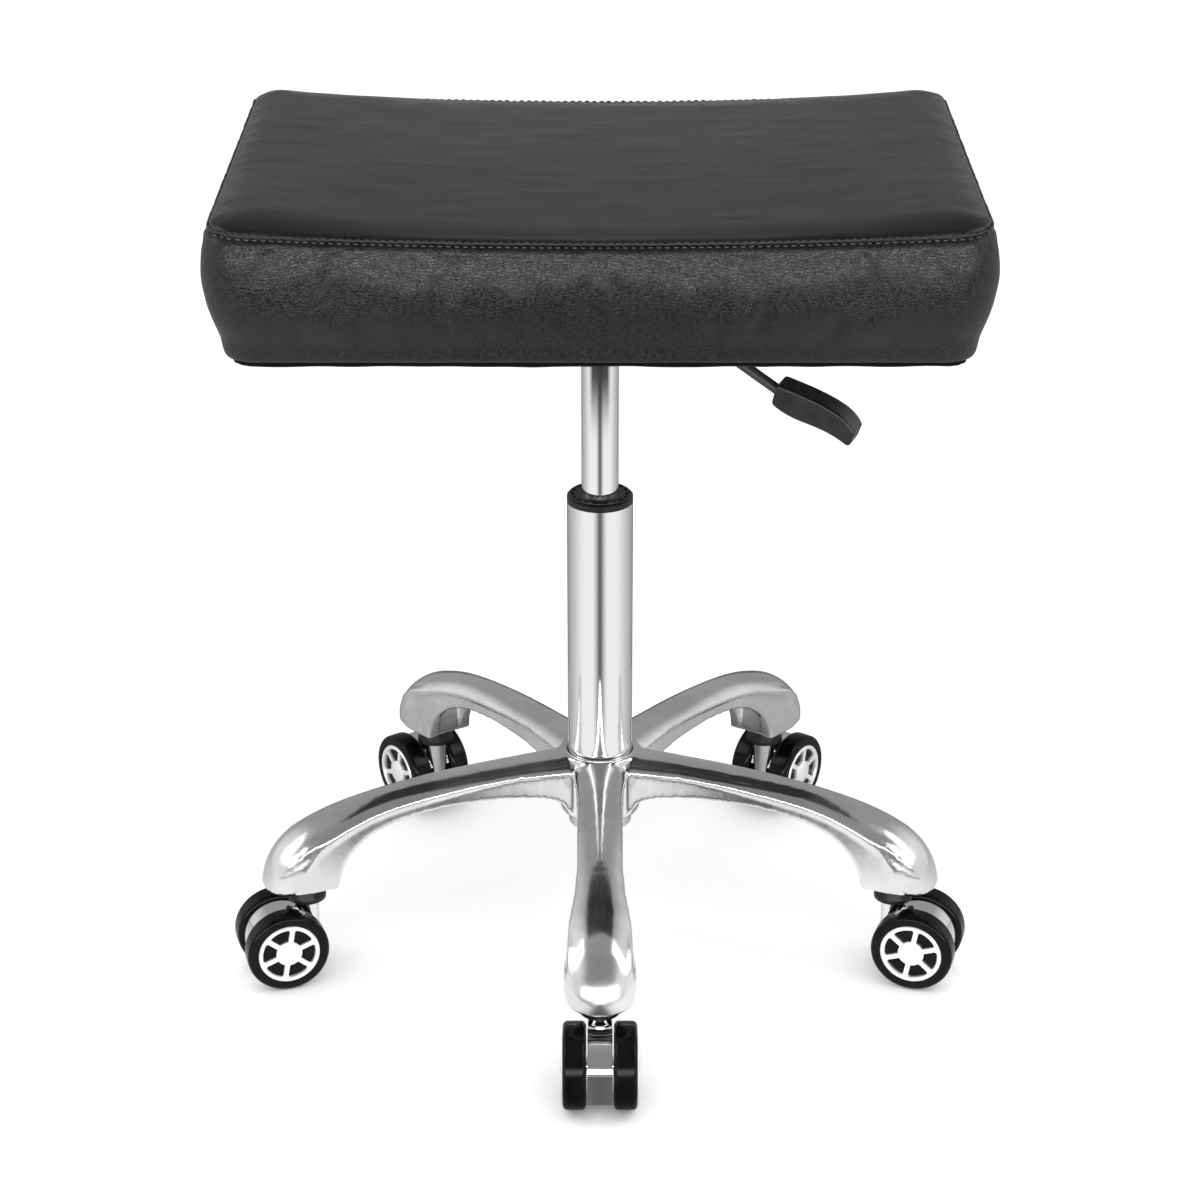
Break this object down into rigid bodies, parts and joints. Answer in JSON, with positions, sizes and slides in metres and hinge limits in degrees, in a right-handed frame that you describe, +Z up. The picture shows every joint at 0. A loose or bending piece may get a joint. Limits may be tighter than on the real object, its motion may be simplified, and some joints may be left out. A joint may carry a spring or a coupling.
{
  "type": "rolling stool",
  "caption": "Rolling salon stool with a padded saddle cushion, gas lift column, star base and twin-wheel casters.",
  "frame": {"origin": "on the floor, on the axis of the gas lift column", "axes": "+Z up along the column, +X across the seat to the sitter's side with the height lever, -Y to the front, where one arm of the base points"},
  "size_m": [0.5682, 0.5408, 0.6403],
  "materials": {
    "polished_aluminium": "polished casting",
    "chrome": "mirror chrome",
    "chromed_housing": "mirror chrome",
    "black_nylon": "satin moulded",
    "bright_steel": "ground",
    "zinc_steel": "zinc plated",
    "black_steel": "black powder coat",
    "black_rubber": "matt",
    "plywood": "raw plywood",
    "seat_foam": "open cell foam",
    "black_leatherette": "semi gloss, fine grain",
    "dust_cloth": "non-woven",
    "black_lever_plastic": "satin moulded",
    "black_wheel": "semi gloss",
    "silver_trim": "silver painted"
  },
  "bodies": {
    "base": {"star_base": "polished_aluminium", "column_tube": "chrome", "guide_bush": "black_nylon", "column_end_disc": "bright_steel", "bearing_lower_race": "bright_steel", "bearing_balls": "bright_steel", "caster_stems": "bright_steel"},
    "piston_rod": {"piston_rod": "bright_steel", "piston_head": "black_nylon", "bearing_upper_race": "bright_steel", "rubber_buffer": "black_rubber", "retaining_clip": "bright_steel"},
    "seat": {"gas_cylinder": "chrome", "cylinder_gland": "black_nylon", "mount_plate": "black_steel", "lever_pivot_pin": "bright_steel", "plate_bolts": "zinc_steel", "tee_nuts": "zinc_steel", "seat_board": "plywood", "seat_foam": "seat_foam", "seat_cover": "black_leatherette", "dust_cover": "dust_cloth"},
    "valve": {"valve_pin": "bright_steel"},
    "lever": {"lever_rod": "black_steel", "lever_paddle": "black_lever_plastic"},
    "caster_1": {"caster_body_1": "chromed_housing", "caster_hood_1": "black_nylon", "caster_axle_1": "bright_steel"},
    "wheel_1_left": {"wheel_1_left": "black_wheel", "wheel_trim_1_left": "silver_trim"},
    "wheel_1_right": {"wheel_1_right": "black_wheel", "wheel_trim_1_right": "silver_trim"},
    "caster_2": {"caster_body_2": "chromed_housing", "caster_hood_2": "black_nylon", "caster_axle_2": "bright_steel"},
    "wheel_2_left": {"wheel_2_left": "black_wheel", "wheel_trim_2_left": "silver_trim"},
    "wheel_2_right": {"wheel_2_right": "black_wheel", "wheel_trim_2_right": "silver_trim"},
    "caster_3": {"caster_body_3": "chromed_housing", "caster_hood_3": "black_nylon", "caster_axle_3": "bright_steel"},
    "wheel_3_left": {"wheel_3_left": "black_wheel", "wheel_trim_3_left": "silver_trim"},
    "wheel_3_right": {"wheel_3_right": "black_wheel", "wheel_trim_3_right": "silver_trim"},
    "caster_4": {"caster_body_4": "chromed_housing", "caster_hood_4": "black_nylon", "caster_axle_4": "bright_steel"},
    "wheel_4_left": {"wheel_4_left": "black_wheel", "wheel_trim_4_left": "silver_trim"},
    "wheel_4_right": {"wheel_4_right": "black_wheel", "wheel_trim_4_right": "silver_trim"},
    "caster_5": {"caster_body_5": "chromed_housing", "caster_hood_5": "black_nylon", "caster_axle_5": "bright_steel"},
    "wheel_5_left": {"wheel_5_left": "black_wheel", "wheel_trim_5_left": "silver_trim"},
    "wheel_5_right": {"wheel_5_right": "black_wheel", "wheel_trim_5_right": "silver_trim"}
  },
  "joints": [
    {"name": "seat_swivel", "type": "hinge", "parent": "base", "child": "piston_rod", "pos_m": [0, 0, 0.114], "axis": [0, 0, 1], "continuous": true},
    {"name": "seat_height", "type": "slide", "parent": "piston_rod", "child": "seat", "axis": [0, 0, 1], "range_m": [-0.11, 0]},
    {"name": "lever_lift", "type": "hinge", "parent": "seat", "child": "lever", "pos_m": [0.03195, -0.01163, 0.5242], "axis": [-0.342, -0.9397, 0], "range_deg": [0, 5], "stiffness_Nm_per_rad": 1.5, "springref_deg": -5.73},
    {"name": "valve_press", "type": "slide", "parent": "seat", "child": "valve", "axis": [0, 0, 1], "range_m": [-0.003, 0], "stiffness_N_per_m": 2000, "springref_m": 0.002},
    {"name": "caster_1_swivel", "type": "hinge", "parent": "base", "child": "caster_1", "pos_m": [0, -0.238, 0.06], "axis": [0, 0, 1], "continuous": true},
    {"name": "wheel_1_left_spin", "type": "hinge", "parent": "caster_1", "child": "wheel_1_left", "pos_m": [0, -0.259, 0.032], "axis": [1, 0, 0], "continuous": true},
    {"name": "wheel_1_right_spin", "type": "hinge", "parent": "caster_1", "child": "wheel_1_right", "pos_m": [0, -0.259, 0.032], "axis": [1, 0, 0], "continuous": true},
    {"name": "caster_2_swivel", "type": "hinge", "parent": "base", "child": "caster_2", "pos_m": [0.22635, -0.07355, 0.06], "axis": [0, 0, 1], "continuous": true},
    {"name": "wheel_2_left_spin", "type": "hinge", "parent": "caster_2", "child": "wheel_2_left", "pos_m": [0.24632, -0.08003, 0.032], "axis": [0.309, 0.9511, 0], "continuous": true},
    {"name": "wheel_2_right_spin", "type": "hinge", "parent": "caster_2", "child": "wheel_2_right", "pos_m": [0.24632, -0.08003, 0.032], "axis": [0.309, 0.9511, 0], "continuous": true},
    {"name": "caster_3_swivel", "type": "hinge", "parent": "base", "child": "caster_3", "pos_m": [0.13989, 0.19255, 0.06], "axis": [0, 0, 1], "continuous": true},
    {"name": "wheel_3_left_spin", "type": "hinge", "parent": "caster_3", "child": "wheel_3_left", "pos_m": [0.15224, 0.20953, 0.032], "axis": [-0.809, 0.5878, 0], "continuous": true},
    {"name": "wheel_3_right_spin", "type": "hinge", "parent": "caster_3", "child": "wheel_3_right", "pos_m": [0.15224, 0.20953, 0.032], "axis": [-0.809, 0.5878, 0], "continuous": true},
    {"name": "caster_4_swivel", "type": "hinge", "parent": "base", "child": "caster_4", "pos_m": [-0.13989, 0.19255, 0.06], "axis": [0, 0, 1], "continuous": true},
    {"name": "wheel_4_left_spin", "type": "hinge", "parent": "caster_4", "child": "wheel_4_left", "pos_m": [-0.15224, 0.20953, 0.032], "axis": [-0.809, -0.5878, 0], "continuous": true},
    {"name": "wheel_4_right_spin", "type": "hinge", "parent": "caster_4", "child": "wheel_4_right", "pos_m": [-0.15224, 0.20953, 0.032], "axis": [-0.809, -0.5878, 0], "continuous": true},
    {"name": "caster_5_swivel", "type": "hinge", "parent": "base", "child": "caster_5", "pos_m": [-0.22635, -0.07355, 0.06], "axis": [0, 0, 1], "continuous": true},
    {"name": "wheel_5_left_spin", "type": "hinge", "parent": "caster_5", "child": "wheel_5_left", "pos_m": [-0.24632, -0.08003, 0.032], "axis": [0.309, -0.9511, 0], "continuous": true},
    {"name": "wheel_5_right_spin", "type": "hinge", "parent": "caster_5", "child": "wheel_5_right", "pos_m": [-0.24632, -0.08003, 0.032], "axis": [0.309, -0.9511, 0], "continuous": true}
  ],
  "couplings": [
    {"joint": "valve_press", "follows": "lever_lift", "m_per_rad": -0.034}
  ]
}
